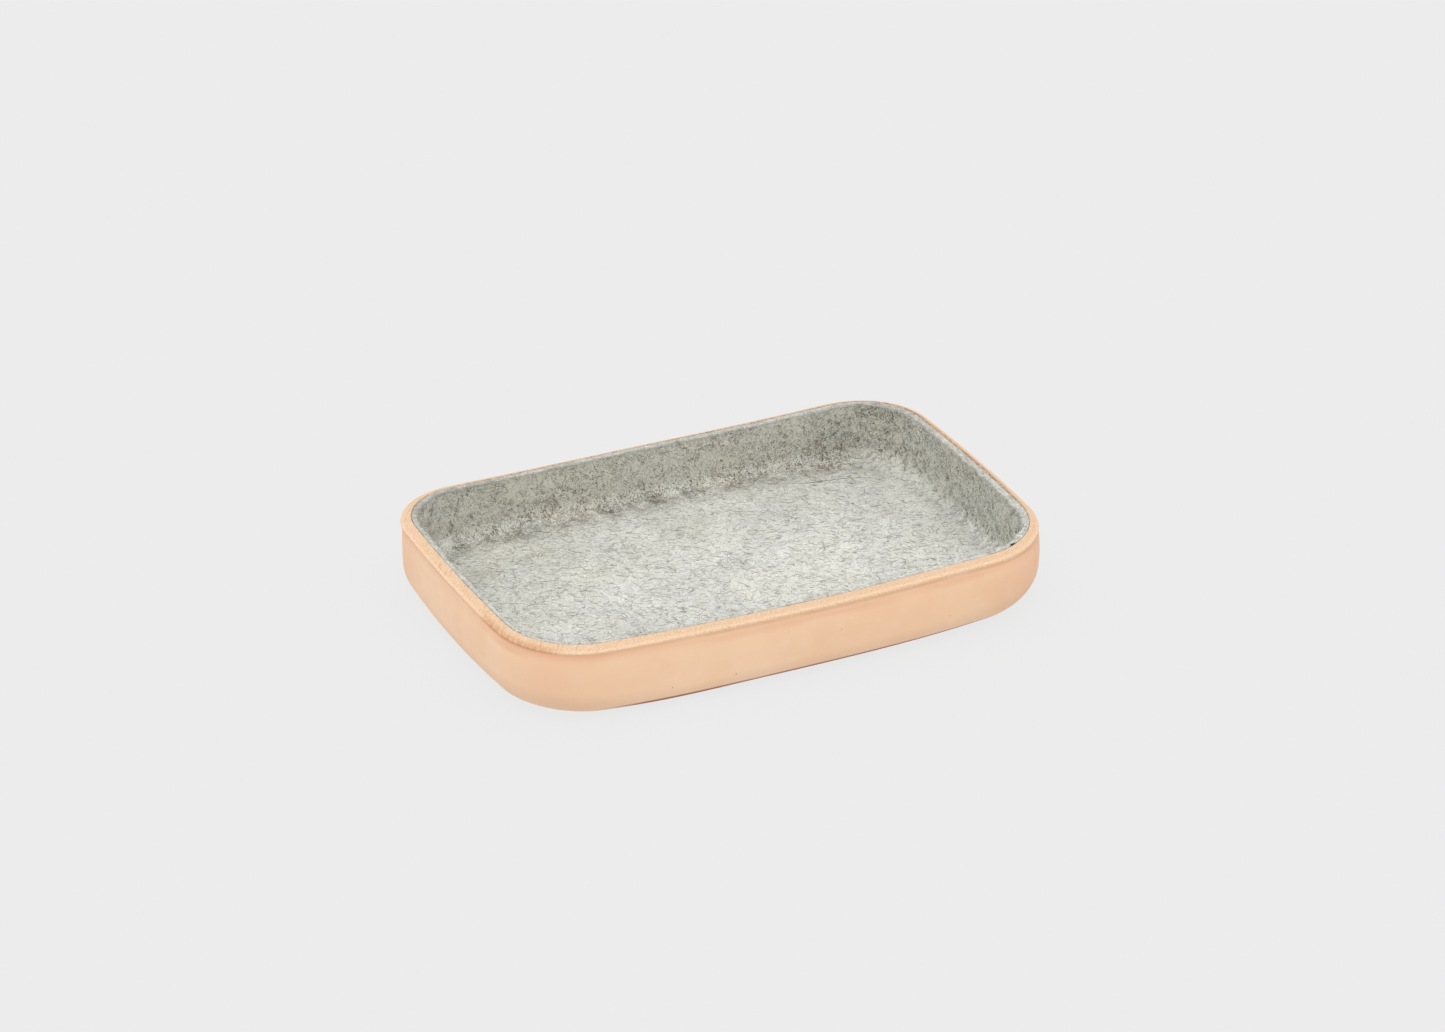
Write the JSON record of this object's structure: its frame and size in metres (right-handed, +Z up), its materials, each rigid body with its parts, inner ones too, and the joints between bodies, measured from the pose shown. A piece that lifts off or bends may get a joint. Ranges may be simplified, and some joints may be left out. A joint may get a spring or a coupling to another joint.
{
  "type": "desk tray",
  "caption": "Shallow rounded rectangular desk tray of moulded natural leather, lined with grey wool felt, for small things on a desk.",
  "frame": {"origin": "middle of the underside of the base, on the surface that the tray stands on", "axes": "+X along the long side, +Y along the short side, +Z up out of the open top"},
  "size_m": [0.23, 0.158, 0.032],
  "materials": {
    "leather": "natural vegetable-tanned leather, smooth, satin",
    "glue": "dried contact glue, dull",
    "felt": "grey mottled wool felt, fuzzy, matt"
  },
  "bodies": {
    "root": {"leather_shell": "leather", "glue_layer": "glue", "felt_liner": "felt"}
  },
  "joints": []
}
